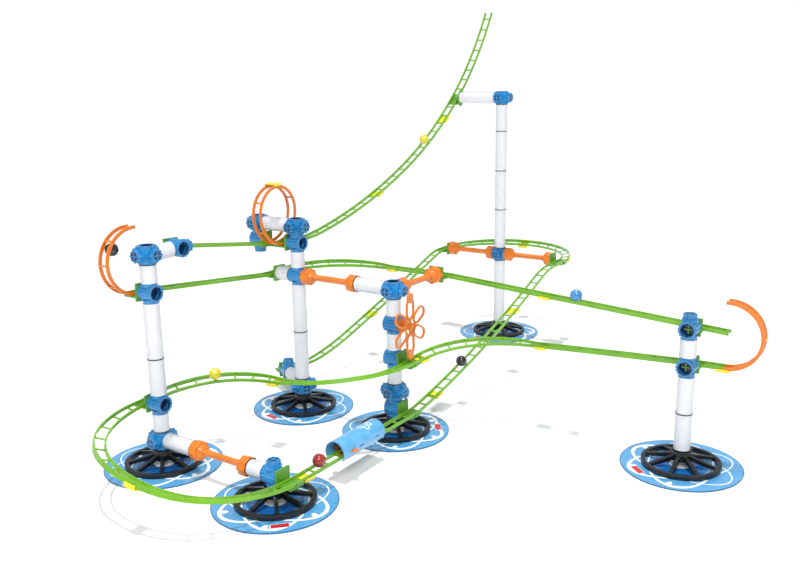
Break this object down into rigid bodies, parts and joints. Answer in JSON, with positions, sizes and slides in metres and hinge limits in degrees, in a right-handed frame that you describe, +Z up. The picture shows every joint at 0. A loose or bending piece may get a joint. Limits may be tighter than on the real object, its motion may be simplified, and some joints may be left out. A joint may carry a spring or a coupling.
{
  "type": "marble run",
  "caption": "Marble run of plug-together towers carrying ladder track with loops, banked bends, a tunnel and a pinwheel for rolling marbles.",
  "frame": {"origin": "on the floor, under the middle of the run's bounding box", "axes": "+X along the track lanes, from the left turn towards the tall tower's starting track, +Y across the lanes from the lowest track to the start track, +Z up"},
  "size_m": [0.9943, 0.6898, 0.5821],
  "materials": {
    "disc_blue": "gloss",
    "black_plastic": "gloss",
    "clear_white_plastic": "gloss",
    "hub_blue": "gloss",
    "bracket_green": "gloss",
    "orange_plastic": "gloss",
    "clip_yellow": "gloss",
    "tunnel_blue": "gloss",
    "marble_red": "gloss",
    "marble_blue": "gloss",
    "marble_yellow": "gloss",
    "marble_black": "gloss",
    "track_green": "gloss"
  },
  "bodies": {
    "run": {"base_disc_1": "disc_blue", "base_disc_2": "disc_blue", "base_disc_3": "disc_blue", "base_disc_4": "disc_blue", "base_disc_5": "disc_blue", "base_disc_6": "disc_blue", "base_wheel_1": "black_plastic", "base_wheel_2": "black_plastic", "base_wheel_3": "black_plastic", "base_wheel_4": "black_plastic", "base_wheel_5": "black_plastic", "base_wheel_6": "black_plastic", "tower_1_tubes": "clear_white_plastic", "tower_3_tubes": "clear_white_plastic", "tower_4_tubes": "clear_white_plastic", "tower_5_tubes": "clear_white_plastic", "tower_6_tubes": "clear_white_plastic", "tower_1_hubs": "hub_blue", "tower_2_hubs": "hub_blue", "tower_3_hubs": "hub_blue", "tower_4_hubs": "hub_blue", "tower_5_hubs": "hub_blue", "tower_6_hubs": "hub_blue", "joint_rings": "black_plastic", "track_brackets": "bracket_green", "orange_rods": "orange_plastic", "track_clips": "clip_yellow", "start_track_top": "track_green", "start_track_middle": "track_green", "start_track_bottom": "track_green", "loop_rise": "orange_plastic", "loop_fall": "orange_plastic", "loop_exit_track": "track_green", "left_half_loop": "orange_plastic", "right_half_loop": "orange_plastic", "upper_straight": "track_green", "upper_bend": "track_green", "upper_run": "track_green", "return_run": "track_green", "return_bend": "track_green", "s_bend_right": "track_green", "s_bend_left": "track_green", "left_turn_upper": "track_green", "left_turn_lower": "track_green", "tunnel_track": "track_green", "climb_track": "track_green", "u_turn_entry": "track_green", "u_turn_exit": "track_green", "descent_track": "track_green", "end_bend": "track_green", "tunnel": "tunnel_blue", "tunnel_saddle": "orange_plastic", "pinwheel_pin": "orange_plastic"},
    "pinwheel": {"pinwheel": "orange_plastic"},
    "red_marble": {"red_marble": "marble_red"},
    "blue_marble": {"blue_marble": "marble_blue"},
    "yellow_marble_high": {"yellow_marble_high": "marble_yellow"},
    "yellow_marble_low": {"yellow_marble_low": "marble_yellow"},
    "black_marble_loop": {"black_marble_loop": "marble_black"},
    "black_marble_climb": {"black_marble_climb": "marble_black"}
  },
  "joints": [
    {"name": "pinwheel_spin", "type": "hinge", "parent": "run", "child": "pinwheel", "pos_m": [-0.12049, 0.06221, 0.149], "axis": [0, -1, 0], "continuous": true},
    {"name": "red_marble_roll", "type": "slide", "parent": "run", "child": "red_marble", "axis": [0.9999, 0.0135, 0], "range_m": [-0.04, 0.18]},
    {"name": "blue_marble_roll", "type": "slide", "parent": "run", "child": "blue_marble", "axis": [0.0131, -0.9976, -0.0673], "range_m": [-0.16, 0.18]},
    {"name": "high_marble_roll", "type": "hinge", "parent": "run", "child": "yellow_marble_high", "pos_m": [-0.09909, 0.27708, 0.9682], "axis": [0.0219, -0.9998, 0], "range_deg": [-4.5, 8]},
    {"name": "climb_marble_roll", "type": "hinge", "parent": "run", "child": "black_marble_climb", "pos_m": [-0.44413, 0.05512, 1.98107], "axis": [-0.0219, 0.9998, 0], "range_deg": [-2.8, 2.8]},
    {"name": "loop_marble_roll", "type": "hinge", "parent": "run", "child": "black_marble_loop", "pos_m": [-0.36327, 0.29656, 0.2556], "axis": [0, 1, 0], "range_deg": [-113, 49]},
    {"name": "low_marble_roll", "type": "hinge", "parent": "run", "child": "yellow_marble_low", "pos_m": [-0.27472, 0.26437, 0.09259], "axis": [-0.6201, -0.6712, -0.4061], "continuous": true}
  ]
}
